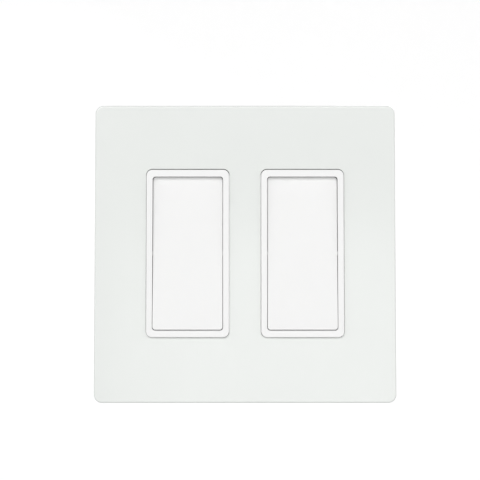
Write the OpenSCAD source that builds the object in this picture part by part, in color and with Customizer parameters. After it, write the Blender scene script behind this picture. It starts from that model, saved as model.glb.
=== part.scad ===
// Two-gang rocker wall switch: two decorator rocker switches behind a screwless clip-on wall plate.
// Frame: X to the right, Y into the wall, Z up. The wall surface is the plane Y = 0 and the room is on -Y.
// The origin is the centre of the four device screws, in the wall surface. Millimetres.

/* [Wall plate] */
// Width of the clip-on cover plate
plate_w = 121.1; // [119:0.1:124]
// Height of the clip-on cover plate
plate_h = 119.8; // [118:0.1:122]
// How far the cover plate stands off the wall
plate_depth = 7.4; // [7:0.1:8]
// Wall thickness of the cover plate
plate_wall = 2.0; // [1.8:0.1:2.2]
// Corner radius of the cover plate, seen from the front
plate_corner_r = 3.4; // [2.6:0.1:5]
// Radius that rounds the cover plate's front edge
plate_edge_r = 0.8; // [0.8:0.1:1.8]
// Width of one opening in the cover plate
opening_w = 33.5; // [33.45:0.05:34]
// Height of one opening in the cover plate
opening_h = 67.7; // [67.6:0.05:67.8]
// Corner radius of an opening
opening_r = 2.5; // [2.4:0.1:3]

// Height of the openings' centres above the plate's middle, in mm
opening_rise = 0.18; // [0:0.02:0.2]
/* [Switch face] */
// Distance between the centres of the two switches
gang_pitch = 46.04; // [46.04:0.01:46.1]
// Width of the bezel frame
bezel_w = 33.1; // [32.8:0.05:33.1]
// Height of the bezel frame
bezel_h = 67.2; // [66.5:0.05:67.2]
// Corner radius of the bezel frame
bezel_r = 2.3; // [2:0.05:2.5]
// How far the bezel stands proud of the cover plate
bezel_proud = 1.2; // [0.8:0.1:1.4]
// Width of the bezel's opening for the rocker
well_w = 28.3; // [28.25:0.05:28.8]
// Height of the bezel's opening for the rocker
well_h = 61.76; // [61.7:0.02:62.2]
// Corner radius of the bezel's opening
well_r = 1.2; // [1.1:0.1:1.6]

/* [Rocker] */
// Width of the rocker paddle
rocker_w = 27.95; // [27.6:0.05:28]
// Half height of the rocker's front face
rocker_half_h = 30.72; // [30.2:0.02:30.72]
// Tilt of the rocker to each side of level
rocker_tilt = 3.0; // [2.5:0.1:3]
// How much the face is dished, centre to end
face_dish = 0.6; // [0.4:0.05:0.7]
// Distance from the pivot to the middle of the face
face_offset = 1.35; // [1.3:0.05:1.5]
// Wall thickness of the rocker shell
rocker_wall = 1.6; // [1.4:0.1:1.8]

/* [Contact arm] */
// Tilt of the contact arm to each side of level
arm_tilt = 3.5; // [3:0.05:3.5]
// Width of the contact arm
arm_w = 7; // [6:0.1:8]

/* [Strap and body] */
// Thickness of the steel mounting strap
strap_t = 1.3; // [1.2:0.05:1.3]
// Distance between the device screws of one switch
device_screw_pitch = 83.34; // [83.3:0.01:83.4]
// Distance between the wall plate screws of one switch
plate_screw_pitch = 96.84; // [96.8:0.01:96.9]
// Overall length of the strap
strap_len = 106.4; // [105:0.1:107]
// Width across the break-off ears
ear_w = 33.6; // [33:0.1:34.4]
// Depth of the rear housing behind the wall surface
housing_d = 22.8; // [22.6:0.1:25]
// Length of the device screws under their heads
device_screw_len = 26.3; // [25:0.1:32]

/* [Hidden] */
$fn = 48;

gx = gang_pitch / 2;
ds = device_screw_pitch / 2;
ps = plate_screw_pitch / 2;
face_y = -plate_depth - bezel_proud;      // front of the bezel
sub_front = -3.1;                          // front of the sub-plate
sub_back = -strap_t - 0.02;                // back of the sub-plate
rocker_y = -6.0;                           // rocker pivot
trunnion_r = 1.0;
trunnion_bore_r = 1.05;
ledge_y = -2.4;                            // ledge behind the rocker's rim
window_w = 24.5;                           // strap window
window_h = 54;
post_x = 12.5;                             // bezel posts and housing screws
post_z = 30.2;
tip_len = 22;                              // pivot to plunger tip
tip_r = 1.5;
arm_y = rocker_y + tip_len + 0.03 + 1.5;   // contact arm pivot
arm_t = 0.9;
knuckle_r = 1.2;
strip_y = 18.80;                           // front of the terminal strips
strip_t = 1.0;
floor_y = strip_y + strip_t + 0.04;        // floor of the housing's cavity
contact_z = -9.2;
term_z = 17;                               // terminal screws
term_y = 11;
ground_y = 6;
ground_z = -37.8;
white = [0.96, 0.96, 0.95];

// ---- helpers ----
// Extrudes a drawing in X and Z from y0 to y1.
module panel(y0, y1) {
  translate([0, y1, 0]) rotate([90, 0, 0]) linear_extrude(y1 - y0) children();
}
// Extrudes a drawing in Y and Z, centred on X.
module across(w) {
  rotate([90, 0, 90]) translate([0, 0, -w / 2]) linear_extrude(w) children();
}
module rrect(w, h, r) {
  square([w - 2 * r, h], center = true);
  square([w, h - 2 * r], center = true);
  for (i = [-1, 1], j = [-1, 1]) translate([i * (w / 2 - r), j * (h / 2 - r)]) circle(r);
}
module box(x0, x1, y0, y1, z0, z1) {
  translate([x0, y0, z0]) cube([x1 - x0, y1 - y0, z1 - z0]);
}
module cyl_y(r, y0, y1, x = 0, z = 0) {
  translate([x, y1, z]) rotate([90, 0, 0]) cylinder(r = r, h = y1 - y0);
}
module cyl_x(r, x0, x1, y = 0, z = 0) {
  translate([x0, y, z]) rotate([0, 90, 0]) cylinder(r = r, h = x1 - x0);
}
// A lathed shape on the Y axis: points are [radius, y].
module lathe_y(points) {
  rotate([90, 0, 0]) rotate_extrude() polygon([for (p = points) [p[0], -p[1]]]);
}
// A lathed shape on the X axis: points are [radius, x].
module lathe_x(points) {
  rotate([0, 90, 0]) rotate_extrude() polygon(points);
}
// Profile of a domed screw head from its rim to its crown: [radius, height above the seat].
function dome(r, h, n = 6) =
  [for (i = [0 : n]) [r * cos(90 * i / n), h * 0.35 + h * 0.65 * sin(90 * i / n)]];

// ---- wall plate ----
module plate_body() {
  e = plate_edge_r;
  r = plate_corner_r;
  hull() for (i = [-1, 1], j = [-1, 1])
    translate([i * (plate_w / 2 - r), 0, j * (plate_h / 2 - r)])
      rotate([90, 0, 0]) rotate_extrude($fn = 32)
        polygon(concat([[0, 0], [r, 0], [r - 0.1, plate_depth - e]],
          [for (k = [1 : 6]) [r - 0.1 - e + e * cos(15 * k), plate_depth - e + e * sin(15 * k)]],
          [[0, plate_depth]]));
}
module snap_hook(x, s) {
  // s is +1 at the top edge and -1 at the bottom edge
  zi = plate_h / 2 - plate_wall;
  z0 = min(s * 56.5, s * (zi + 0.5));
  z1 = max(s * 56.5, s * (zi + 0.5));
  box(x - 4, x + 4, -plate_depth + plate_wall - 0.3, -0.5, z0, z1);
  n0 = min(s * 55.75, s * 57);
  n1 = max(s * 55.75, s * 57);
  box(x - 4, x + 4, -1.5, -0.5, n0, n1);
}
module cover_plate() color(white) {
  difference() {
    union() {
      difference() {
        plate_body();
        panel(-plate_depth + plate_wall, 1) rrect(plate_w - 2 * plate_wall, plate_h - 2 * plate_wall, 1.6);
      }
      // collars round the openings
      for (i = [-1, 1]) translate([i * gx, 0, opening_rise])
        panel(-plate_depth + plate_wall - 0.3, -4.5) rrect(opening_w + 2.8, opening_h + 2.8, opening_r + 1.4);
      // stiffening ribs
      for (x = [-52, 0, 52]) box(x - 0.5, x + 0.5, -plate_depth + plate_wall - 0.3, -4.5, -44, 44);
      for (x = [-36, 0, 36], s = [-1, 1]) snap_hook(x, s);
    }
    for (i = [-1, 1]) translate([i * gx, 0, opening_rise])
      panel(-plate_depth - 1, 1) rrect(opening_w, opening_h, opening_r);
    // pry notch in the bottom edge
    box(-3.2, 3.2, -1.1, 1, -plate_h / 2 - 1, -plate_h / 2 + plate_wall + 0.2);
  }
}
module sub_plate() color([0.90, 0.90, 0.89]) {
  difference() {
    union() {
      panel(sub_front, sub_back) rrect(112.5, 110.9, 3);
      // rim that stiffens the sub-plate
      difference() {
        panel(sub_front - 1.2, sub_front + 0.3) rrect(112.5, 110.9, 3);
        panel(sub_front - 2, sub_front + 1) rrect(110.3, 108.7, 2);
      }
      // catches for the cover plate's hooks
      for (x = [-36, 0, 36], s = [-1, 1])
        box(x - 4.6, x + 4.6, sub_front, -1.8, min(s * 55, s * 56.3), max(s * 55, s * 56.3));
    }
    for (i = [-1, 1]) translate([i * gx, 0, 0]) {
      panel(-8, 2) rrect(34.4, 68.2, 2.8);
      for (j = [-1, 1]) {
        // keyhole round the device screw's head
        cyl_y(3.25, -8, 2, 0, j * ds);
        box(-3.25, 3.25, -8, 2, min(j * 33, j * ds), max(j * 33, j * ds));
        // countersunk hole for the plate screw
        translate([0, 0, j * ps])
          lathe_y([[0, -8], [3.0, -8], [3.0, -3.0], [1.95, -1.75], [1.95, 2], [0, 2]]);
      }
    }
    // weight-saving windows between and beside the switches
    for (x = [-48.2, 0, 48.2]) panel(-8, 2) rrect(5, 60, 2.4);
  }
}
module flat_head_screw(z) {
  // countersunk 6-32 screw, head flush with the sub-plate
  difference() {
    translate([0, 0, z])
      lathe_y([[0, -3.05], [2.85, -3.05], [2.85, -2.95], [1.75, -1.72], [1.75, 5.4], [1.2, 6.2], [0, 6.2]]);
    box(-3.2, 3.2, -4, -2.35, z - 0.45, z + 0.45);
  }
}
module plate_screws() color([0.93, 0.93, 0.92])
  for (i = [-1, 1], j = [-1, 1]) translate([i * gx, 0, 0]) flat_head_screw(j * ps);

// ---- one switch, centred on x = 0 ----
// The rocker is drawn level, with its pivot at the origin, then set to the top-pressed position.
module pressed() { translate([0, rocker_y, 0]) rotate([-rocker_tilt, 0, 0]) children(); }

function face_at(z) = -(face_offset + face_dish * pow(z / rocker_half_h, 2));
module rocker_profile(cut) {
  // cut = 0 draws the outside, and a positive cut draws the hollow
  h = rocker_half_h - cut;
  polygon(concat(
    [for (k = [-14 : 14]) [face_at(h * k / 14) + (cut > 0 ? 1.7 : 0), h * k / 14]],
    cut > 0 ? [[3, h], [3, -h]]
            : [[0, h + 0.11], [1.8, h + 0.02], [1.8, -h - 0.02], [0, -h - 0.11]]));
}
module rocker() color([0.98, 0.98, 0.97]) pressed() {
  difference() {
    union() {
      difference() {
        intersection() {
          across(rocker_w) rocker_profile(0);
          panel(-4, 3) rrect(rocker_w, 2 * rocker_half_h + 0.4, 1.2);
        }
        across(rocker_w - 2 * 1.5) rocker_profile(rocker_wall);
      }
      // bosses and trunnions
      for (s = [-1, 1]) {
        box(min(s * 11.4, s * 13.9), max(s * 11.4, s * 13.9), 0, 2.6, -2.6, 2.6);
        cyl_x(trunnion_r, min(s * 12, s * 15.85), max(s * 12, s * 15.85));
      }
      // ribs under the face
      for (x = [-7, 7]) box(x - 0.5, x + 0.5, 0, 1.6, -29.2, 29.2);
      for (z = [-20, -10, 10, 20]) box(-12.8, 12.8, -0.4, 1.2, z - 0.5, z + 0.5);
      // post that holds the spring and plunger
      cyl_y(3.7, 0, 14.5);
    }
    cyl_y(2.45, 5.5, 15);
  }
}
module bezel_frame() color([0.98, 0.98, 0.97]) {
  difference() {
    union() {
      panel(face_y, -strap_t) rrect(bezel_w, bezel_h, bezel_r);
      for (i = [-1, 1], j = [-1, 1]) cyl_y(2.1, -1.5, 9, i * post_x, j * post_z);
    }
    panel(face_y - 1, ledge_y) rrect(well_w, well_h, well_r);
    panel(-4, 1) rrect(window_w, window_h, 1.5);
    for (s = [-1, 1]) cyl_x(trunnion_bore_r, min(s * 13, s * 16), max(s * 13, s * 16), rocker_y, 0);
    for (i = [-1, 1], j = [-1, 1]) cyl_y(1.3, 1, 10, i * post_x, j * post_z);
  }
}
module strap() color([0.72, 0.73, 0.74]) {
  difference() {
    union() {
      panel(-strap_t, 0) {
        rrect(33.2, 69, 2);
        for (j = [-1, 1]) {
          translate([0, j * (strap_len / 2 - 11)]) rrect(21, 22, 3);
          translate([0, j * 43.5]) rrect(ear_w, 12.2, 2.4);
        }
      }
      // ground tab, bent back from the strap
      box(-10.5, -9.2, -0.3, 10, ground_z - 4.2, ground_z + 3.6);
    }
    panel(-3, 2) rrect(window_w, window_h, 1.5);
    for (j = [-1, 1]) {
      // slotted device screw holes
      panel(-3, 2) translate([0, j * ds]) rrect(7.4, 4.4, 2.19);
      // threaded holes for the plate screws, at the thread's major diameter
      cyl_y(1.8, -3, 2, 0, j * ps);
      // scores beside the break-off ears
      for (i = [-1, 1]) panel(-3, 2) translate([i * 11.3, j * 43.5]) rrect(1.2, 8, 0.59);
      for (i = [-1, 1]) cyl_y(2.3, -3, 2, i * post_x, j * post_z);
    }
    cyl_x(1.95, -11, -9, ground_y, ground_z);
  }
}
module rear_housing() color([0.30, 0.31, 0.33]) {
  difference() {
    union() {
      difference() {
        panel(0.02, housing_d) rrect(32.6, 66.2, 2);
        // mechanism cavity
        panel(-1, floor_y) rrect(22.4, 52, 1.5);
      }
      // stop under the contact arm's free end
      box(-2.6, 2.6, arm_y - 0.55, floor_y + 0.2, 6.6, 9.0);
      // raised ribs on the back
      for (x = [-9, 9]) box(x - 0.6, x + 0.6, housing_d - 0.3, housing_d + 0.8, -22, 22);
    }
    for (j = [-1, 1]) {
      // slot for the terminal plate and the pocket for its screw
      box(11, 13.3, -1, floor_y, min(j * 12.3, j * 21.7), max(j * 12.3, j * 21.7));
      box(13.2, 18, 5.5, 16.5, min(j * 11.8, j * 22.2), max(j * 11.8, j * 22.2));
      // blank pocket on the unused side
      box(-18, -14.6, 5.5, 16.5, min(j * 11.8, j * 22.2), max(j * 11.8, j * 22.2));
      for (i = [-1, 1]) {
        cyl_y(2.25, -1, 9.2, i * post_x, j * post_z);
        cyl_y(1.5, 8, housing_d + 2, i * post_x, j * post_z);
        cyl_y(2.7, housing_d - 2.3, housing_d + 2, i * post_x, j * post_z);
      }
    }
    // shallow blank panel on the back
    panel(housing_d - 0.5, housing_d + 2) rrect(14, 30, 1.5);
    // wire strip gauge: a groove as long as the bare end of a wire
    box(-6.35, 6.35, housing_d - 0.7, housing_d + 2, -27.5, -25.7);
    // grip grooves along both long sides
    for (i = [-1, 1], y = [18.4, 19.9]) box(min(i * 15.9, i * 17), max(i * 15.9, i * 17), y, y + 0.7, -26, 26);
  }
}
module plunger() color([0.90, 0.89, 0.86]) pressed() {
  difference() {
    rotate([90, 0, 0]) rotate_extrude() polygon(concat(
      [[0, -11.5], [2.4, -11.5], [2.4, -17.2], [tip_r, -18.4]],
      [for (k = [0 : 8]) [tip_r * cos(90 * k / 8), -(tip_len - tip_r) - tip_r * sin(90 * k / 8)]]));
    cyl_y(1.5, 10, 14.5);
  }
}
// A coil swept as one closed tube of six sides.
module coil(r, w, y0, y1, turns, steps = 12, sides = 6) {
  n = turns * steps;
  rings = [for (i = [0 : n]) let (a = 360 * i / steps, y = y0 + (y1 - y0) * i / n)
    for (k = [0 : sides - 1]) let (b = 360 * k / sides)
      [(r + w * cos(b)) * cos(a), y + w * sin(b), (r + w * cos(b)) * sin(a)]];
  sidesf = [for (i = [0 : n - 1], k = [0 : sides - 1]) let (k2 = (k + 1) % sides)
    each [[i * sides + k, i * sides + k2, (i + 1) * sides + k2],
          [i * sides + k, (i + 1) * sides + k2, (i + 1) * sides + k]]];
  caps = [[for (k = [sides - 1 : -1 : 0]) k], [for (k = [0 : sides - 1]) n * sides + k]];
  polyhedron(points = rings, faces = concat(sidesf, caps), convexity = 8);
}
module plunger_spring() color([0.75, 0.76, 0.77]) pressed()
  coil(1.95, 0.25, 5.8, 11.2, 5);

// The contact arm is drawn level, with its pivot at the origin, then set to the closed position.
module closed() { translate([0, arm_y, 0]) rotate([arm_tilt, 0, 0]) children(); }
module contact_arm() color([0.72, 0.45, 0.28]) closed() {
  v = tan(arm_tilt);
  difference() {
    union() {
      across(arm_w) polygon([[-1.5, 0], [-1.5 - 9 * v, 9], [-1.5 - 9 * v + arm_t, 9],
        [-1.5 + arm_t, 0], [-1.5 - 11.2 * v + arm_t, -11.2], [-1.5 - 11.2 * v, -11.2]]);
      cyl_x(knuckle_r, -arm_w / 2, arm_w / 2);
    }
    rotate([-arm_tilt, 0, 0]) cyl_y(0.82, -5, 3, 0, contact_z);
  }
}
wing_y = -1.5 * cos(arm_tilt);                     // front of the lower wing when closed
wing_t = arm_t * cos(arm_tilt);
// The contact rivets are drawn where they lie with the switch closed.
module moving_contact() color([0.86, 0.86, 0.84])
  translate([0, arm_y + wing_y, contact_z])
    lathe_y([[0, -0.4], [1.1, -0.4], [1.1, -0.01], [0.8, -0.01], [0.8, wing_t + 0.01],
      [1.6, wing_t + 0.01], [1.6, wing_t + 0.75], [1.35, wing_t + 0.9], [0, wing_t + 0.9]]);
module fixed_contact() color([0.86, 0.86, 0.84])
  translate([0, strip_y, contact_z])
    lathe_y([[0, arm_y + wing_y + wing_t + 0.93 - strip_y], [1.35, arm_y + wing_y + wing_t + 0.93 - strip_y],
      [1.6, arm_y + wing_y + wing_t + 1.08 - strip_y], [1.6, -0.01], [0.8, -0.01], [0.8, strip_t], [0, strip_t]]);
module terminal_plate(j) {
  // strip along the floor and the upright plate under the terminal screw
  box(7, 13.2, strip_y, strip_y + strip_t, min(j * 12.5, j * 21.5), max(j * 12.5, j * 21.5));
  box(12.2, 13.2, 6, strip_y + 0.3, min(j * 12.5, j * 21.5), max(j * 12.5, j * 21.5));
}
module line_terminal() color([0.83, 0.66, 0.32]) {
  difference() {
    union() {
      terminal_plate(1);
      box(7, 11, strip_y, strip_y + strip_t, -2.6, 12.7);
      box(-4.2, 7.2, strip_y, strip_y + strip_t, -2.6, 2.6);
      // saddle that carries the contact arm
      box(-4.2, 4.2, arm_y + 0.42, strip_y + 0.3, -2.6, 2.6);
    }
    cyl_x(knuckle_r + 0.05, -5, 5, arm_y, 0);
    cyl_x(1.95, 12, 14, term_y, term_z);
  }
}
module load_terminal() color([0.83, 0.66, 0.32]) {
  difference() {
    union() {
      terminal_plate(-1);
      box(7, 11, strip_y, strip_y + strip_t, -12.7, -6.4);
      box(-3, 7.2, strip_y, strip_y + strip_t, -12, -6.4);
    }
    cyl_y(0.82, strip_y - 1, strip_y + 2, 0, contact_z);
    cyl_x(1.95, 12, 14, term_y, -term_z);
  }
}
// A slotted binding screw on the X axis. Its seat is at x = 0 and its head points to +X.
module binding_screw(r, h, shank_r, len) {
  difference() {
    lathe_x(concat([[0, -len], [shank_r - 0.5, -len], [shank_r, -len + 0.5], [shank_r, 0], [r, 0]],
      dome(r, h), [[0, h]]));
    box(h * 0.55, h + 1, -r - 1, r + 1, -0.6, 0.6);
  }
}
module terminal_screws() color([0.80, 0.62, 0.27])
  for (j = [-1, 1]) translate([14.4, term_y, j * term_z]) binding_screw(4.0, 2.1, 1.85, 6.5);
module ground_screw() color([0.16, 0.48, 0.27])
  translate([-11.6, ground_y, ground_z]) rotate([0, 0, 180]) binding_screw(3.7, 2.1, 1.85, 6);
module mounting_screws() color([0.78, 0.79, 0.80])
  for (j = [-1, 1]) translate([0, 0, j * ds]) {
    seat = -strap_t - 0.02;
    head = [for (p = dome(3.0, 2.0)) [p[0], seat - p[1]]];
    difference() {
      lathe_y(concat([[0, seat - 2.0]], [for (i = [len(head) - 2 : -1 : 0]) head[i]],
        [[3.0, seat], [1.55, seat], [1.55, 0.45], [1.75, 0.45],
         [1.75, device_screw_len - 2.2], [1.15, device_screw_len - 1.3], [0, device_screw_len - 1.3]]));
      box(-4, 4, seat - 3, seat - 1.1, -0.5, 0.5);
    }
  }
module screw_retainers() color([0.55, 0.42, 0.30])
  for (j = [-1, 1]) difference() {
    panel(0.01, 0.4) translate([0, j * ds]) rrect(9, 9, 0.8);
    cyl_y(1.6, -1, 2, 0, j * ds);
  }
module housing_screws() color([0.70, 0.71, 0.72])
  for (i = [-1, 1], j = [-1, 1]) translate([i * post_x, 0, j * post_z]) {
    top = housing_d - 2.28;
    difference() {
      lathe_y([[0, 2], [0.5, 2], [1.25, 3], [1.25, top], [2.4, top], [2.4, top + 1.1], [1.9, top + 1.6], [0, top + 1.6]]);
      box(-0.35, 0.35, top + 0.7, top + 3, -1.6, 1.6);
      box(-1.6, 1.6, top + 0.7, top + 3, -0.35, 0.35);
    }
  }

module switch_part(name) {
  if (name == "rocker") rocker();
  if (name == "bezel_frame") bezel_frame();
  if (name == "strap") strap();
  if (name == "rear_housing") rear_housing();
  if (name == "plunger") plunger();
  if (name == "plunger_spring") plunger_spring();
  if (name == "contact_arm") contact_arm();
  if (name == "moving_contact") moving_contact();
  if (name == "line_terminal") line_terminal();
  if (name == "load_terminal") load_terminal();
  if (name == "fixed_contact") fixed_contact();
  if (name == "terminal_screws") terminal_screws();
  if (name == "ground_screw") ground_screw();
  if (name == "mounting_screws") mounting_screws();
  if (name == "screw_retainers") screw_retainers();
  if (name == "housing_screws") housing_screws();
}
PARTS = ["rocker", "bezel_frame", "strap", "rear_housing", "plunger", "plunger_spring",
  "contact_arm", "moving_contact", "line_terminal", "load_terminal", "fixed_contact",
  "terminal_screws", "ground_screw", "mounting_screws", "screw_retainers", "housing_screws"];

cover_plate();
sub_plate();
plate_screws();
for (p = PARTS) {
  translate([-gx, 0, 0]) switch_part(p);
  translate([gx, 0, 0]) switch_part(p);
}
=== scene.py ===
"""Looks for the two-gang rocker wall switch: refined plastic skins, threaded screws, springs, procedural materials, light and camera."""

import math

import bmesh
import bpy
from mathutils import Matrix, Vector


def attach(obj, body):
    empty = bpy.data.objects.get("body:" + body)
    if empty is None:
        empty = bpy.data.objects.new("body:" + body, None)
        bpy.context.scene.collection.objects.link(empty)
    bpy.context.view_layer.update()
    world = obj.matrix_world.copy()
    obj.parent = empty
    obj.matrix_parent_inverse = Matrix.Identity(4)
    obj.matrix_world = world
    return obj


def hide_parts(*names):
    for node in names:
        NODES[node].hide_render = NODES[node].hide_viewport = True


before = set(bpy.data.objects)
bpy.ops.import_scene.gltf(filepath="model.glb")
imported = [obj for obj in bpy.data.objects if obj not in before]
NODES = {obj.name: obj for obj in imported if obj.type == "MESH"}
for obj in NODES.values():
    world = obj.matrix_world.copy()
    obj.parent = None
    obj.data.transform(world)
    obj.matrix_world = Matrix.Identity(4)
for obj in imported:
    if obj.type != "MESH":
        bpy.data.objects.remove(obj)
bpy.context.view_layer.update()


MM = 0.001
GX = 23.02  # half the distance between the two switches
ROCKER_Y = -6.0
TILT = math.radians(3.0)
SIDES = (("left", -GX), ("right", GX))


# ---------------------------------------------------------------- mesh building


class Shell:
    """Vertices in millimetres, and faces."""

    def __init__(self):
        self.v, self.f = [], []

    def ring(self, pts):
        i = len(self.v)
        self.v += [tuple(p) for p in pts]
        return list(range(i, i + len(pts)))

    def bridge(self, a, b):
        n = len(a)
        for i in range(n):
            self.f.append((a[i], a[(i + 1) % n], b[(i + 1) % n], b[i]))

    def stack(self, rings):
        """Joins rings of equal length one after the other."""
        made = [self.ring(r) for r in rings]
        for a, b in zip(made, made[1:]):
            self.bridge(a, b)
        return made

    def fill(self, ring):
        self.f.append(tuple(ring))

    def fan(self, ring, centre):
        c = self.ring([centre])[0]
        n = len(ring)
        for i in range(n):
            self.f.append((ring[i], ring[(i + 1) % n], c))

    def strips(self, ring, n, side):
        """Fills an outline() ring with strips from its left side to its right side."""
        half = n + side  # points in one corner's arc and the straight side after it
        # order: arc right-top, top, arc left-top, left side, arc left-bottom, bottom, arc right-bottom, right side
        arc = n + 1
        i_rt, i_lt = 0, arc
        i_left = i_lt + arc
        i_lb = i_left + side - 1
        i_rb = i_lb + arc
        i_right = i_rb + arc
        left = (
            ring[i_lb : i_lb + arc][::-1]
            + ring[i_left : i_left + side - 1][::-1]
            + ring[i_lt : i_lt + arc][::-1]
        )
        right = (
            ring[i_rb : i_rb + arc]
            + ring[i_right : i_right + side - 1]
            + ring[i_rt : i_rt + arc]
        )
        assert len(left) == len(right) and half > 0
        for k in range(len(left) - 1):
            self.f.append((left[k], right[k], right[k + 1], left[k + 1]))

    def merge(self, other, move=None):
        i = len(self.v)
        pts = other.v if move is None else [tuple(move @ Vector(p)) for p in other.v]
        self.v += pts
        self.f += [tuple(k + i for k in f) for f in other.f]
        return self

    def plane_fill(self, rings):
        """Fills a flat area between an outer ring and the rings of its holes with triangles."""
        bm = bmesh.new()
        seen = {}
        edges = []
        for ring in rings:
            for k in ring:
                seen[k] = bm.verts.new(self.v[k])
            for k in range(len(ring)):
                edges.append(bm.edges.new((seen[ring[k]], seen[ring[(k + 1) % len(ring)]])))
        back = {v: k for k, v in seen.items()}
        made = bmesh.ops.triangle_fill(bm, use_beauty=True, use_dissolve=False, edges=edges)
        for f in [g for g in made["geom"] if isinstance(g, bmesh.types.BMFace)]:
            self.f.append(tuple(back[v] for v in f.verts))
        bm.free()


def outline(w, h, r, n=8, side=1):
    """Rounded rectangle (x, z) points, anticlockwise from the right side's top. side cuts each long side in pieces."""
    a, b = w / 2 - r, h / 2 - r
    pts = []
    for k, (cx, cz) in enumerate(((a, b), (-a, b), (-a, -b), (a, -b))):
        for i in range(n + 1):
            t = math.radians(90 * k + 90 * i / n)
            pts.append((cx + r * math.cos(t), cz + r * math.sin(t)))
        if k % 2:
            nx, nz = ((-a - r, -b) if k == 1 else (a + r, b))
            sx, sz = pts[-1]
            for j in range(1, side):
                pts.append((sx + (nx - sx) * j / side, sz + (nz - sz) * j / side))
    return pts


def flat(pts, y, dx=0.0, dz=0.0):
    return [(x + dx, y, z + dz) for x, z in pts]


def rounding(r, n, start=0, end=90):
    """(inward, down) steps of a rounded edge: (r, 0) on the face to (0, r) on the wall."""
    out = []
    for i in range(n + 1):
        t = math.radians(start + (end - start) * i / n)
        out.append((r - r * math.sin(t), r - r * math.cos(t)))
    return out


def lathe(points, n=32):
    """A closed turned shape about Y. points are (radius, y) from one end to the other, and a zero radius closes an end."""
    s = Shell()
    rings = []
    for r, y in points:
        if r <= 1e-9:
            rings.append(("pole", (0.0, y, 0.0)))
        else:
            rings.append(
                ("ring", s.ring([(r * math.cos(2 * math.pi * k / n), y, r * math.sin(2 * math.pi * k / n)) for k in range(n)]))
            )
    for (ka, a), (kb, b) in zip(rings, rings[1:]):
        if ka == "ring" and kb == "ring":
            s.bridge(a, b)
        elif ka == "pole" and kb == "ring":
            s.fan(b, a)
        elif ka == "ring":
            s.fan(a, b)
    return s


def tube(points, n=32):
    """A closed turned shape about Y with a hole through it. points go once round its section."""
    s = Shell()
    rings = [s.ring([(r * math.cos(2 * math.pi * k / n), y, r * math.sin(2 * math.pi * k / n)) for k in range(n)]) for r, y in points]
    for a, b in zip(rings, rings[1:] + rings[:1]):
        s.bridge(a, b)
    return s


def threaded(before, r, root, pitch, y0, y1, after, n=28, rows=8):
    """A turned shape about Y with a machine thread from y0 to y1. before and after are (radius, y) points."""
    s = Shell()

    def circle(fn, y):
        return s.ring([(fn(k) * math.cos(2 * math.pi * k / n), y, fn(k) * math.sin(2 * math.pi * k / n)) for k in range(n)])

    rings = []
    for rr, y in before:
        rings.append(("pole", (0.0, y, 0.0)) if rr <= 1e-9 else ("ring", circle(lambda k, q=rr: q, y)))
    count = int(round((y1 - y0) / pitch * rows))
    for i in range(count + 1):
        y = y0 + (y1 - y0) * i / count
        ease = min(1.0, (y - y0) / (0.8 * pitch) + 0.0, (y1 - y) / (0.8 * pitch) + 0.0)

        def wave(k, y=y, ease=ease):
            p = (y / pitch - k / n) % 1.0
            tri = 1 - abs(2 * p - 1)
            tri = min(1.0, max(0.0, tri * 1.25 - 0.12))
            return root + (r - root) * tri * max(0.0, ease)

        rings.append(("ring", circle(wave, y)))
    for rr, y in after:
        rings.append(("pole", (0.0, y, 0.0)) if rr <= 1e-9 else ("ring", circle(lambda k, q=rr: q, y)))
    for (ka, a), (kb, b) in zip(rings, rings[1:]):
        if ka == "ring" and kb == "ring":
            s.bridge(a, b)
        elif ka == "pole" and kb == "ring":
            s.fan(b, a)
        elif ka == "ring":
            s.fan(a, b)
    return s


def block(x0, x1, y0, y1, z0, z1, r=0.2, n=3):
    """A box with rounded edges all round."""
    bm = bmesh.new()
    bmesh.ops.create_cube(bm, size=1)
    for v in bm.verts:
        v.co = Vector(
            (
                x0 if v.co.x < 0 else x1,
                y0 if v.co.y < 0 else y1,
                z0 if v.co.z < 0 else z1,
            )
        )
    if r > 0:
        bmesh.ops.bevel(bm, geom=list(bm.edges), offset=r, segments=n, profile=0.5, affect="EDGES", clamp_overlap=True)
    s = Shell()
    bm.verts.index_update()
    s.v = [tuple(v.co) for v in bm.verts]
    s.f = [tuple(v.index for v in f.verts) for f in bm.faces]
    bm.free()
    return s


def to_object(name, shell, sharp=38, weighted=True):
    me = bpy.data.meshes.new(name)
    me.from_pydata([(x * MM, y * MM, z * MM) for x, y, z in shell.v], [], shell.f)
    me.validate()
    bm = bmesh.new()
    bm.from_mesh(me)
    bmesh.ops.remove_doubles(bm, verts=bm.verts, dist=1e-7)
    bmesh.ops.recalc_face_normals(bm, faces=bm.faces)
    bm.to_mesh(me)
    bm.free()
    o = bpy.data.objects.new(name, me)
    bpy.context.scene.collection.objects.link(o)
    finish_shading(o, sharp, weighted)
    return o


def finish_shading(o, sharp=38, weighted=True):
    me = o.data
    for p in me.polygons:
        p.use_smooth = True
    me.set_sharp_from_angle(angle=math.radians(sharp))
    if weighted:
        m = o.modifiers.new("even_shading", "WEIGHTED_NORMAL")
        m.keep_sharp = True
        m.weight = 80


def cut(o, cutters, sharp=38):
    """Cuts closed shapes out of an object and keeps the result as its mesh."""
    o.modifiers.clear()
    tools = []
    for k, s in enumerate(cutters):
        c = to_object(f"{o.name}_tool{k}", s, weighted=False)
        m = o.modifiers.new(f"cut{k}", "BOOLEAN")
        m.operation, m.solver, m.object = "DIFFERENCE", "EXACT", c
        tools.append(c)
    bpy.context.view_layer.update()
    dg = bpy.context.evaluated_depsgraph_get()
    me = bpy.data.meshes.new_from_object(o.evaluated_get(dg))
    o.modifiers.clear()
    old = o.data
    o.data = me
    bpy.data.meshes.remove(old)
    me.name = o.name
    for c in tools:
        mesh = c.data
        bpy.data.objects.remove(c)
        bpy.data.meshes.remove(mesh)
    finish_shading(o, sharp)
    return o


# ---------------------------------------------------------------- materials


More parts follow.
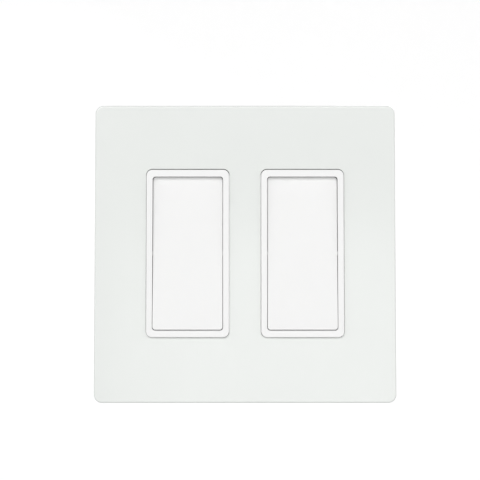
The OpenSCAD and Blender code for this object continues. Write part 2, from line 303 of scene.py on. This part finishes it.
def new_material(name):
    m = bpy.data.materials.new(name)
    m.use_nodes = True
    nt = m.node_tree
    bsdf = nt.nodes["Principled BSDF"]
    coord = nt.nodes.new("ShaderNodeTexCoord")
    return m, nt, bsdf, coord


def noise(nt, coord, scale, detail=2.0, rough=0.5, stretch=None):
    t = nt.nodes.new("ShaderNodeTexNoise")
    t.inputs["Scale"].default_value = scale
    t.inputs["Detail"].default_value = detail
    t.inputs["Roughness"].default_value = rough
    if stretch:
        mp = nt.nodes.new("ShaderNodeMapping")
        mp.inputs["Scale"].default_value = stretch
        nt.links.new(coord.outputs["Object"], mp.inputs["Vector"])
        nt.links.new(mp.outputs["Vector"], t.inputs["Vector"])
    else:
        nt.links.new(coord.outputs["Object"], t.inputs["Vector"])
    return t


def vary(nt, tex, low, high, a=0.3, b=0.7):
    r = nt.nodes.new("ShaderNodeMapRange")
    r.inputs["From Min"].default_value = a
    r.inputs["From Max"].default_value = b
    r.inputs["To Min"].default_value = low
    r.inputs["To Max"].default_value = high
    nt.links.new(tex.outputs["Fac"], r.inputs["Value"])
    return r


def two_tone(nt, tex, dark, light, a=0.35, b=0.65):
    r = nt.nodes.new("ShaderNodeValToRGB")
    r.color_ramp.elements[0].position = a
    r.color_ramp.elements[1].position = b
    r.color_ramp.elements[0].color = (*dark, 1)
    r.color_ramp.elements[1].color = (*light, 1)
    nt.links.new(tex.outputs["Fac"], r.inputs["Fac"])
    return r


def bump(nt, bsdf, tex, height_mm, strength=1.0, under=None):
    b = nt.nodes.new("ShaderNodeBump")
    b.inputs["Strength"].default_value = strength
    b.inputs["Distance"].default_value = height_mm * MM
    nt.links.new(tex.outputs["Fac"], b.inputs["Height"])
    if under is not None:
        nt.links.new(under.outputs["Normal"], b.inputs["Normal"])
    nt.links.new(b.outputs["Normal"], bsdf.inputs["Normal"])
    return b


def plastic(name, colour, tint=0.012, rough=(0.28, 0.36), grain_mm=0.35, depth=0.0006, ripple=None, specular=0.5):
    """Moulded plastic: a faint colour drift, gloss that varies a little, and the mould's fine texture."""
    m, nt, bsdf, coord = new_material(name)
    drift = noise(nt, coord, 34, 3)
    dark = tuple(c * (1 - tint) for c in colour)
    light = tuple(min(1.0, c * (1 + tint * 0.6)) for c in colour)
    nt.links.new(two_tone(nt, drift, dark, light).outputs["Color"], bsdf.inputs["Base Color"])
    fine = noise(nt, coord, 1000 / grain_mm, 3)
    gloss = noise(nt, coord, 120, 3)
    nt.links.new(vary(nt, gloss, *rough).outputs["Result"], bsdf.inputs["Roughness"])
    under = None
    if ripple:
        under = bump(nt, bsdf, noise(nt, coord, 1000 / ripple[0], 1), ripple[1])
    bump(nt, bsdf, fine, depth, under=under)
    bsdf.inputs["Specular IOR Level"].default_value = specular
    bsdf.inputs["IOR"].default_value = 1.5
    return m


def metal(name, dark, light, rough=(0.28, 0.42), streak=None, spots=900, depth=0.0008):
    """Plated or rolled metal: streaks or mottling in colour and gloss, and a fine bump."""
    m, nt, bsdf, coord = new_material(name)
    base = noise(nt, coord, 260, 6, 0.65, stretch=streak)
    nt.links.new(two_tone(nt, base, dark, light, 0.3, 0.7).outputs["Color"], bsdf.inputs["Base Color"])
    wear = noise(nt, coord, spots, 5, 0.6, stretch=streak)
    nt.links.new(vary(nt, wear, *rough).outputs["Result"], bsdf.inputs["Roughness"])
    bump(nt, bsdf, wear, depth)
    bsdf.inputs["Metallic"].default_value = 1.0
    return m


def fibre_board(name, dark, light):
    m, nt, bsdf, coord = new_material(name)
    base = noise(nt, coord, 2600, 8, 0.7, stretch=(1.0, 4.0, 0.35))
    nt.links.new(two_tone(nt, base, dark, light, 0.3, 0.75).outputs["Color"], bsdf.inputs["Base Color"])
    nt.links.new(vary(nt, base, 0.65, 0.9).outputs["Result"], bsdf.inputs["Roughness"])
    bump(nt, bsdf, base, 0.01)
    return m


MAT = {
    "plate": plastic("plate_plastic", (0.79, 0.811, 0.79), tint=0.006, rough=(0.14, 0.16), depth=0.0002, ripple=(22, 0.002)),
    "switch": plastic("switch_plastic", (0.86, 0.86, 0.856), tint=0.004, rough=(0.26, 0.272), depth=0.0002, ripple=(18, 0.0015)),
    "sub": plastic("sub_plate_plastic", (0.70, 0.70, 0.68), rough=(0.45, 0.6), grain_mm=0.25, depth=0.002),
    "dark": plastic("dark_plastic", (0.038, 0.040, 0.043), tint=0.12, rough=(0.42, 0.58), grain_mm=0.22, depth=0.004),
    "nylon": plastic("nylon", (0.62, 0.60, 0.53), rough=(0.4, 0.5), grain_mm=0.3, depth=0.001),
    "white_screw": plastic("white_enamel", (0.72, 0.72, 0.70), rough=(0.25, 0.35), grain_mm=0.2, depth=0.001),
    "zinc": metal("zinc_steel", (0.50, 0.51, 0.52), (0.66, 0.67, 0.68), (0.30, 0.46), streak=(0.25, 1.0, 3.0)),
    "zinc_screw": metal("zinc_screw", (0.52, 0.53, 0.55), (0.70, 0.71, 0.73), (0.24, 0.38), spots=1800),
    "spring": metal("spring_steel", (0.42, 0.43, 0.44), (0.58, 0.59, 0.60), (0.25, 0.35)),
    "copper": metal("copper_alloy", (0.58, 0.28, 0.16), (0.75, 0.42, 0.27), (0.28, 0.45), streak=(3.0, 1.0, 0.3)),
    "silver": metal("silver_contact", (0.62, 0.61, 0.58), (0.80, 0.79, 0.76), (0.2, 0.35)),
    "brass": metal("brass_strip", (0.60, 0.42, 0.15), (0.78, 0.58, 0.25), (0.28, 0.44), streak=(1.0, 0.3, 3.0)),
    "brass_screw": metal("brass_screw", (0.62, 0.42, 0.13), (0.80, 0.58, 0.22), (0.22, 0.36), spots=2400),
    "green": metal("green_screw", (0.03, 0.20, 0.07), (0.08, 0.36, 0.15), (0.30, 0.48), spots=2200),
    "fibre": fibre_board("fibre_washer", (0.20, 0.11, 0.06), (0.42, 0.27, 0.16)),
}


def dress(o, mat):
    o.data.materials.clear()
    o.data.materials.append(MAT[mat])


def place(o, mat, body, *nodes):
    """Gives a new piece its material and its body, and hides the CAD node that it stands for."""
    dress(o, mat)
    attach(o, body)
    if nodes:
        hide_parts(*nodes)
    return o


# ---------------------------------------------------------------- cover plate

PLATE_W, PLATE_H, PLATE_D, PLATE_T = 121.1, 119.8, 7.4, 2.0
OPEN_W, OPEN_H, OPEN_R = 33.5, 67.7, 2.5
RISE = 0.18  # the openings sit a little above the middle


def cover_plate():
    n = 12
    s = Shell()
    iw, ih = PLATE_W - 2 * PLATE_T, PLATE_H - 2 * PLATE_T
    inner_y = -PLATE_D + PLATE_T
    front_y = -PLATE_D
    edge = 0.8
    draft = 0.1
    rings = []
    # inside wall, from the inner face to the back rim
    rings.append(flat(outline(iw - 0.8, ih - 0.8, 1.2, n), inner_y))
    for k in range(1, 4):
        t = math.radians(30 * k)
        d = 0.8 * (1 - math.sin(t))
        rings.append(flat(outline(iw - d, ih - d, 1.6 - d / 2, n), inner_y + 0.4 * (1 - math.cos(t))))
    rings.append(flat(outline(iw, ih, 1.6, n), -0.18))
    rings.append(flat(outline(iw + 0.30, ih + 0.30, 1.75, n), -0.02))
    rings.append(flat(outline(iw + 0.5, ih + 0.5, 1.85, n), 0.0))
    # back rim and outer wall
    rings.append(flat(outline(PLATE_W - 0.6, PLATE_H - 0.6, 3.1, n), 0.0))
    rings.append(flat(outline(PLATE_W - 0.16, PLATE_H - 0.16, 3.32, n), -0.09))
    rings.append(flat(outline(PLATE_W, PLATE_H, 3.4, n), -0.34))
    steps = rounding(edge, 10)[::-1]
    for d, e in steps:
        q = 2 * (draft + d)
        rings.append(flat(outline(PLATE_W - q, PLATE_H - q, 3.4 - draft - d, n), front_y + e))
    made = s.stack(rings)
    inner_face, front_face = made[0], made[-1]
    front_holes, inner_holes = [], []
    for _, x in SIDES:
        hole = []
        for d, e in rounding(0.12, 5):
            # grows towards the front face
            hole.append(flat(outline(OPEN_W + 2 * d, OPEN_H + 2 * d, OPEN_R + d, n), front_y + e, x, RISE))
        hole.append(flat(outline(OPEN_W, OPEN_H, OPEN_R, n), -4.7, x, RISE))
        hole.append(flat(outline(OPEN_W + 0.4, OPEN_H + 0.4, OPEN_R + 0.2, n), -4.5, x, RISE))
        hole.append(flat(outline(OPEN_W + 2.4, OPEN_H + 2.4, OPEN_R + 1.2, n), -4.5, x, RISE))
        hole.append(flat(outline(OPEN_W + 2.8, OPEN_H + 2.8, OPEN_R + 1.4, n), -4.7, x, RISE))
        hole.append(flat(outline(OPEN_W + 2.8, OPEN_H + 2.8, OPEN_R + 1.4, n), inner_y, x, RISE))
        got = s.stack(hole)
        front_holes.append(got[0])
        inner_holes.append(got[-1])
    s.plane_fill([front_face] + front_holes)
    s.plane_fill([inner_face] + inner_holes)
    o = to_object("cover_plate_moulded", s)
    cut(o, [block(-3.2, 3.2, -1.1, 0.8, -PLATE_H / 2 - 1, -PLATE_H / 2 + PLATE_T + 0.2, 0.3, 3)])
    extra = Shell()
    for x in (-52, 0, 52):
        extra.merge(block(x - 0.5, x + 0.5, inner_y - 0.3, -4.5, -44, 44, 0.2, 2))
    zi = PLATE_H / 2 - PLATE_T
    for x in (-36, 0, 36):
        for k in (1, -1):
            z0, z1 = sorted((k * 56.5, k * (zi + 0.5)))
            extra.merge(block(x - 4, x + 4, inner_y - 0.3, -0.5, z0, z1, 0.2, 2))
            z0, z1 = sorted((k * 55.75, k * 57))
            extra.merge(block(x - 4, x + 4, -1.5, -0.5, z0, z1, 0.25, 2))
    e = to_object("cover_plate_hooks_and_ribs", extra)
    place(o, "plate", "fixed_parts", "cover_plate")
    place(e, "plate", "fixed_parts")
    return o


# ---------------------------------------------------------------- bezel frames

BEZEL_W, BEZEL_H, BEZEL_R = 33.1, 67.2, 2.3
WELL_W, WELL_H, WELL_R = 28.3, 61.76, 1.2
FACE_Y = -8.6
LEDGE_Y = -2.4
STRAP_T = 1.3
POSTS = [(i * 12.5, j * 30.2) for i in (-1, 1) for j in (-1, 1)]


def bezel_frame(side, x0):
    n = 10
    s = Shell()
    rings = []
    rings.append(flat(outline(BEZEL_W - 0.3, BEZEL_H - 0.3, BEZEL_R - 0.15, n), -STRAP_T, x0))
    rings.append(flat(outline(BEZEL_W, BEZEL_H, BEZEL_R, n), -STRAP_T - 0.15, x0))
    for d, e in rounding(0.15, 6)[::-1]:
        rings.append(flat(outline(BEZEL_W - 2 * d, BEZEL_H - 2 * d, BEZEL_R - d, n), FACE_Y + e, x0))
    for k in range(0, 8):
        t = math.radians(90 * k / 7)
        d = 0.15 * (1 - math.sin(t))
        e = 0.15 * (1 - math.cos(t))
        rings.append(flat(outline(WELL_W + 2 * d, WELL_H + 2 * d, WELL_R + d, n), FACE_Y + e, x0))
    rings.append(flat(outline(WELL_W, WELL_H, WELL_R, n), LEDGE_Y, x0))
    rings.append(flat(outline(24.5, 54, 1.5, n), LEDGE_Y, x0))
    rings.append(flat(outline(24.5, 54, 1.5, n), -STRAP_T, x0))
    made = s.stack(rings)
    s.bridge(made[-1], made[0])
    o = to_object(f"{side}_bezel_frame_moulded", s)
    bores = []
    for k in (-1, 1):
        c = lathe([(0, 13), (1.05, 13), (1.05, 16), (0, 16)], 32)
        turn = Matrix.Translation((x0, ROCKER_Y, 0)) @ Matrix.Rotation(math.radians(-90 * k), 4, "Z")
        bores.append(Shell().merge(c, turn))
    cut(o, bores)
    posts = Shell()
    for px, pz in POSTS:
        t = tube([(2.1, -1.5), (2.1, 8.6), (1.75, 9.0), (1.45, 9.0), (1.3, 8.8), (1.3, 0.95), (0.7, 0.95), (0.7, -1.5)], 32)
        posts.merge(t, Matrix.Translation((x0 + px, 0, pz)))
    p = to_object(f"{side}_bezel_frame_posts", posts)
    place(o, "switch", "fixed_parts", f"{side}_bezel_frame")
    place(p, "switch", "fixed_parts")
    return o


# ---------------------------------------------------------------- rockers

ROCKER_W, ROCKER_HH = 27.95, 30.72
FACE_OFFSET, FACE_DISH = 1.35, 0.6


def face_at(z):
    return -(FACE_OFFSET + FACE_DISH * (z / ROCKER_HH) ** 2)


def rocker(side, x0):
    n, m = 8, 30
    s = Shell()
    corner, edge = 1.15, 0.15
    half = ROCKER_HH

    def lean(pz, y):
        """The end walls swell to their fullest at the pivot's depth."""
        front = face_at(half)
        swell = 0.11 * (y - front) / -front if y < 0 else 0.11 - 0.09 * y / 1.8
        return math.copysign(swell * min(1.0, max(0.0, (abs(pz) - (half - 3)) / 3)), pz)

    def skin(inset, depth, r):
        """A ring of the outer skin: inset from the rocker's outline, and depth below the curved face."""
        pts = []
        for px, pz in outline(ROCKER_W - 2 * inset, 2 * (half - inset), r, n, m):
            y = face_at(pz) + depth
            pts.append((px, y, pz + lean(pz, y)))
        return pts

    rings = [skin(d, e, corner - d) for d, e in rounding(edge, 7)]
    rings.append(skin(0, 1.3, corner))
    back = 1.8

    def level(inset, r, y):
        return [(px, y, pz + lean(pz, y)) for px, pz in outline(ROCKER_W - 2 * inset, 2 * (half - inset), r, n, m)]

    rings.append(level(0, corner, 0.0))
    rings.append(level(0, corner, back - 0.2))
    rings.append(level(0.2, corner - 0.2, back))
    rings.append(level(1.5, 0.4, back))
    made = s.stack(rings)
    s.strips(made[0], n, m)

    def inside(inset, r, depth):
        return [(px, face_at(pz) + depth, pz) for px, pz in outline(ROCKER_W - 2 * inset, 2 * (half - inset), r, n, m)]

    last = s.ring(inside(1.55, 0.4, 1.7))
    s.bridge(made[-1], last)
    s.strips(last, n, m)
    o = to_object(f"{side}_rocker_moulded", s)
    o.data.transform(Matrix.Rotation(-TILT, 4, "X"))
    o.data.transform(Matrix.Translation((x0 * MM, ROCKER_Y * MM, 0)))

    inner = Shell()
    for k in (-1, 1):
        pin = lathe([(0, 12), (1.0, 12), (1.0, 15.65), (0.8, 15.85), (0, 15.85)], 40)
        turn = Matrix.Rotation(math.radians(-90 * k), 4, "Z")
        x0_, x1_ = sorted((k * 11.4, k * 13.6))
        inner.merge(block(x0_, x1_, 0.2, 2.6, -2.6, 2.6, 0.3, 3)).merge(pin, turn)
    for x in (-7, 7):
        inner.merge(block(x - 0.5, x + 0.5, -0.2, 1.6, -28.6, 28.6, 0.15, 2))
    for z in (-20, -10, 10, 20):
        inner.merge(block(-12.6, 12.6, -0.4, 1.2, z - 0.5, z + 0.5, 0.15, 2))
    post = lathe(
        [(0, 0.0), (3.9, 0.0), (3.7, 1.0), (3.7, 14.2), (3.4, 14.5), (2.75, 14.5), (2.45, 14.2), (2.45, 5.5), (0, 5.5)], 40
    )
    inner.merge(post)
    i = to_object(f"{side}_rocker_trunnions_and_post", inner)
    i.data.transform(Matrix.Rotation(-TILT, 4, "X"))
    i.data.transform(Matrix.Translation((x0 * MM, ROCKER_Y * MM, 0)))
    place(o, "switch", f"{side}_paddle", f"{side}_rocker")
    place(i, "switch", f"{side}_paddle")
    return o


# ---------------------------------------------------------------- screws

DS, PS = 83.34 / 2, 96.84 / 2
PITCH_32 = 25.4 / 32


def pan(r, h, seat, n=7, sign=-1):
    """Profile of a pan head from its crown to its seat, standing on y = seat towards sign."""
    pts = [(0.0, seat + sign * h)]
    for i in range(1, n + 1):
        t = math.radians(90 * i / n)
        pts.append((r * math.sin(t) ** 0.8, seat + sign * (h * 0.32 + h * 0.68 * math.cos(t))))
    pts.append((r, seat + sign * 0.12))
    pts.append((r - 0.12, seat))
    return pts


def mounting_screws(side, x0):
    seat = -STRAP_T - 0.02
    profile = pan(3.0, 2.0, seat) + [(1.70, seat), (1.70, 0.30)]
    objs = []
    s = threaded(profile, 1.75, 1.36, PITCH_32, 0.45, 24.1, [(1.3, 24.35), (1.05, 24.95), (0.0, 25.0)])
    all_s = Shell()
    for k in (-1, 1):
        all_s.merge(s, Matrix.Translation((x0, 0, k * DS)))
    o = to_object(f"{side}_mounting_screws_threaded", all_s, sharp=50)
    tools = []
    for k in (-1, 1):
        z = k * DS
        tools.append(block(x0 - 4, x0 + 4, seat - 3, seat - 1.1, z - 0.45, z + 0.45, 0.0))
    cut(o, tools, 50)
    place(o, "zinc_screw", "fixed_parts", f"{side}_mounting_screws")
    objs.append(o)
    return objs


def plate_screws():
    s = threaded(
        [(0, -3.05), (2.55, -3.05), (2.82, -3.0), (2.85, -2.93), (1.72, -1.7)],
        1.75, 1.36, PITCH_32, -1.4, 5.4, [(1.3, 5.7), (1.1, 6.15), (0.0, 6.2)],
    )
    all_s = Shell()
    tools = []
    for _, x0 in SIDES:
        for k in (-1, 1):
            all_s.merge(s, Matrix.Translation((x0, 0, k * PS)))
            tools.append(block(x0 - 3.2, x0 + 3.2, -4, -2.35, k * PS - 0.45, k * PS + 0.45, 0.0))
    o = to_object("plate_screws_threaded", all_s, sharp=50)
    cut(o, tools, 50)
    place(o, "white_screw", "fixed_parts", "plate_screws")


def binding_screw(r, h, shank, length):
    """A slotted binding screw about Y, its seat at y = 0 and its head towards +Y."""
    pts = [(0.0, h)]
    for i in range(1, 9):
        t = math.radians(90 * i / 8)
        pts.append((r * math.sin(t) ** 0.75, h * 0.42 + h * 0.58 * math.cos(t)))
    pts += [(r, 0.25), (r - 0.2, 0.02), (r * 0.72, 0.0), (shank - 0.25, 0.12)]
    before = [(q, y) for q, y in pts]
    return threaded(before, shank, shank - 0.38, PITCH_32, -0.1, -(length - 0.5), [(shank - 0.55, -(length - 0.3)), (0.0, -length)])


def turned(shell, x, y, z, towards):
    """Stands a shape made about Y with +Y pointing to +X or -X."""
    return Shell().merge(shell, Matrix.Translation((x, y, z)) @ Matrix.Rotation(math.radians(-90 * towards), 4, "Z"))


def terminal_and_ground_screws(side, x0):
    s = binding_screw(4.0, 2.1, 1.85, 6.5)
    all_s, tools = Shell(), []
    for k in (-1, 1):
        z = k * 17
        all_s.merge(turned(s, x0 + 14.4, 11, z, 1))
        tools.append(block(x0 + 14.4 + 1.155, x0 + 14.4 + 4, 11 - 6, 11 + 6, z - 0.6, z + 0.6, 0.0))
    o = to_object(f"{side}_terminal_screws_threaded", all_s, sharp=50)
    cut(o, tools, 50)
    place(o, "brass_screw", "fixed_parts", f"{side}_terminal_screws")
    g = turned(binding_screw(3.7, 2.1, 1.85, 6), x0 - 11.6, 6, -37.8, -1)
    o = to_object(f"{side}_ground_screw_threaded", g, sharp=50)
    cut(o, [block(x0 - 11.6 - 4, x0 - 11.6 - 1.155, 6 - 6, 6 + 6, -37.8 - 0.6, -37.8 + 0.6, 0.0)], 50)
    place(o, "green", "fixed_parts", f"{side}_ground_screw")


# ---------------------------------------------------------------- spring


def plunger_spring(side, x0):
    r, w, y0, y1, turns = 1.95, 0.24, 6.45, 11.25, 6.5
    steps, sides = 20, 10
    count = int(turns * steps)
    s = Shell()
    rings = []
    for i in range(count + 1):
        u = i / count
        # closed end turns: the pitch eases to nothing at both ends
        f = u + 0.11 * math.sin(4 * math.pi * u) / (2 * math.pi) * 0 + 0.0
        e = min(u, 1 - u) * turns
        f = u
        y = y0 + w + (y1 - y0 - 2 * w) * f
        if e < 1.0:
            lead = (y1 - y0 - 2 * w) / turns
            slow = lead * 0.45 * (1 - e) ** 2
            y += slow if u > 0.5 else -slow
            y = min(max(y, y0 + w), y1 - w)
        a = 2 * math.pi * i / steps
        rings.append(
            [
                (
                    (r + w * math.cos(2 * math.pi * k / sides)) * math.cos(a),
                    y + w * math.sin(2 * math.pi * k / sides),
                    (r + w * math.cos(2 * math.pi * k / sides)) * math.sin(a),
                )
                for k in range(sides)
            ]
        )
    made = s.stack(rings)
    s.fill(made[0])
    s.fill(made[-1])
    o = to_object(f"{side}_plunger_spring_wound", s, sharp=60)
    o.data.transform(Matrix.Rotation(-TILT, 4, "X"))
    o.data.transform(Matrix.Translation((x0 * MM, ROCKER_Y * MM, 0)))
    place(o, "spring", f"{side}_pin", f"{side}_plunger_spring")


# ---------------------------------------------------------------- carried-over CAD nodes


def soften(node, mat, width, segments=2, angle=35):
    """A CAD node that stays: its flat facets are joined, its edges are rounded and it gets a material."""
    o = NODES[node]
    dress(o, mat)
    if width:
        d = o.modifiers.new("join_flats", "DECIMATE")
        d.decimate_type = "DISSOLVE"
        d.angle_limit = math.radians(0.6)
        b = o.modifiers.new("rounded_edges", "BEVEL")
        b.limit_method = "ANGLE"
        b.angle_limit = math.radians(angle)
        b.width = width * MM
        b.segments = segments
        b.use_clamp_overlap = True
        b.harden_normals = False
        w = o.modifiers.new("even_shading", "WEIGHTED_NORMAL")
        w.keep_sharp = True
        w.weight = 80


cover_plate()
plate_screws()
soften("sub_plate", "sub", 0.2)
for side, x in SIDES:
    bezel_frame(side, x)
    rocker(side, x)
    mounting_screws(side, x)
    terminal_and_ground_screws(side, x)
    plunger_spring(side, x)
    soften(f"{side}_strap", "zinc", 0.12)
    soften(f"{side}_rear_housing", "dark", 0.3)
    soften(f"{side}_plunger", "nylon", 0)
    soften(f"{side}_contact_arm", "copper", 0.1)
    soften(f"{side}_moving_contact", "silver", 0)
    soften(f"{side}_fixed_contact", "silver", 0)
    soften(f"{side}_line_terminal", "brass", 0.12)
    soften(f"{side}_load_terminal", "brass", 0.12)
    soften(f"{side}_screw_retainers", "fibre", 0)
    soften(f"{side}_housing_screws", "zinc_screw", 0.08)


# ---------------------------------------------------------------- floor, backdrop, light and camera


def stage_plane(name, size, location, rotation, colour, emit=None):
    me = bpy.data.meshes.new(name)
    h = size / 2
    me.from_pydata([(-h, -h, 0), (h, -h, 0), (h, h, 0), (-h, h, 0)], [], [(0, 1, 2, 3)])
    o = bpy.data.objects.new(name, me)
    o.location, o.rotation_euler = location, rotation
    bpy.context.scene.collection.objects.link(o)
    m = bpy.data.materials.new(name)
    m.use_nodes = True
    bsdf = m.node_tree.nodes["Principled BSDF"]
    bsdf.inputs["Base Color"].default_value = (*colour, 1)
    bsdf.inputs["Roughness"].default_value = 0.9
    bsdf.inputs["Specular IOR Level"].default_value = 0.1
    if emit:
        bsdf.inputs["Emission Color"].default_value = (*colour, 1)
        bsdf.inputs["Emission Strength"].default_value = emit
    me.materials.append(m)
    return o


stage_plane("floor", 8.0, (0, 0, -0.42), (0, 0, 0), (0.68, 0.68, 0.68))
stage_plane("backdrop", 6.0, (0, 1.7, 0), (math.radians(90), 0, 0), (0.98, 0.98, 0.98), emit=0.42)

world = bpy.data.worlds.new("studio")
bpy.context.scene.world = world
world.use_nodes = True
world.node_tree.nodes["Background"].inputs["Color"].default_value = (1, 1, 1, 1)
world.node_tree.nodes["Background"].inputs["Strength"].default_value = 0.39


def softbox(name, location, target, size, power, colour=(1, 1, 1)):
    d = bpy.data.lights.new(name, "AREA")
    d.shape = "RECTANGLE"
    d.size, d.size_y = size
    d.energy = power
    d.color = colour
    o = bpy.data.objects.new(name, d)
    o.location = location
    o.rotation_euler = (Vector(target) - Vector(location)).to_track_quat("-Z", "Y").to_euler()
    bpy.context.scene.collection.objects.link(o)
    return o


softbox("key", (-0.2, -1.2, 0.62), (0, 0, 0), (1.1, 0.4), 8.1)
softbox("front_panel", (0.44, -1.3, -0.07), (0.44, 0, -0.07), (1.2, 0.34), 2.1)
softbox("side_left", (-1.0, -0.6, 0.15), (0, 0, 0), (0.8, 0.8), 2.0)
softbox("side_right", (1.0, -0.6, 0.15), (0, 0, 0), (0.8, 0.8), 2.0)
softbox("back_fill", (0.5, 1.2, 0.8), (0, 0, 0), (0.8, 0.8), 7)

SCALE = 2.4925  # pixels of the view for one millimetre at the plate's face
FROM_BELOW = math.radians(3.66)
cam = bpy.data.cameras.new("camera")
cam.sensor_width = 36
DIST = 600.0
cam.lens = 36 * DIST / (480 / SCALE)
cam.clip_start, cam.clip_end = 0.01, 20
co = bpy.data.objects.new("camera", cam)
back_off, up = DIST + PLATE_D, 14.53 / SCALE
co.location = (
    -5.1 / SCALE * MM,
    (-back_off * math.cos(FROM_BELOW) - up * math.sin(FROM_BELOW)) * MM,
    (-back_off * math.sin(FROM_BELOW) + up * math.cos(FROM_BELOW)) * MM,
)
co.rotation_euler = (math.radians(90) + FROM_BELOW, 0, 0)
bpy.context.scene.collection.objects.link(co)
bpy.context.scene.camera = co

bpy.context.scene.view_settings.view_transform = "Standard"
bpy.context.scene.view_settings.look = "None"
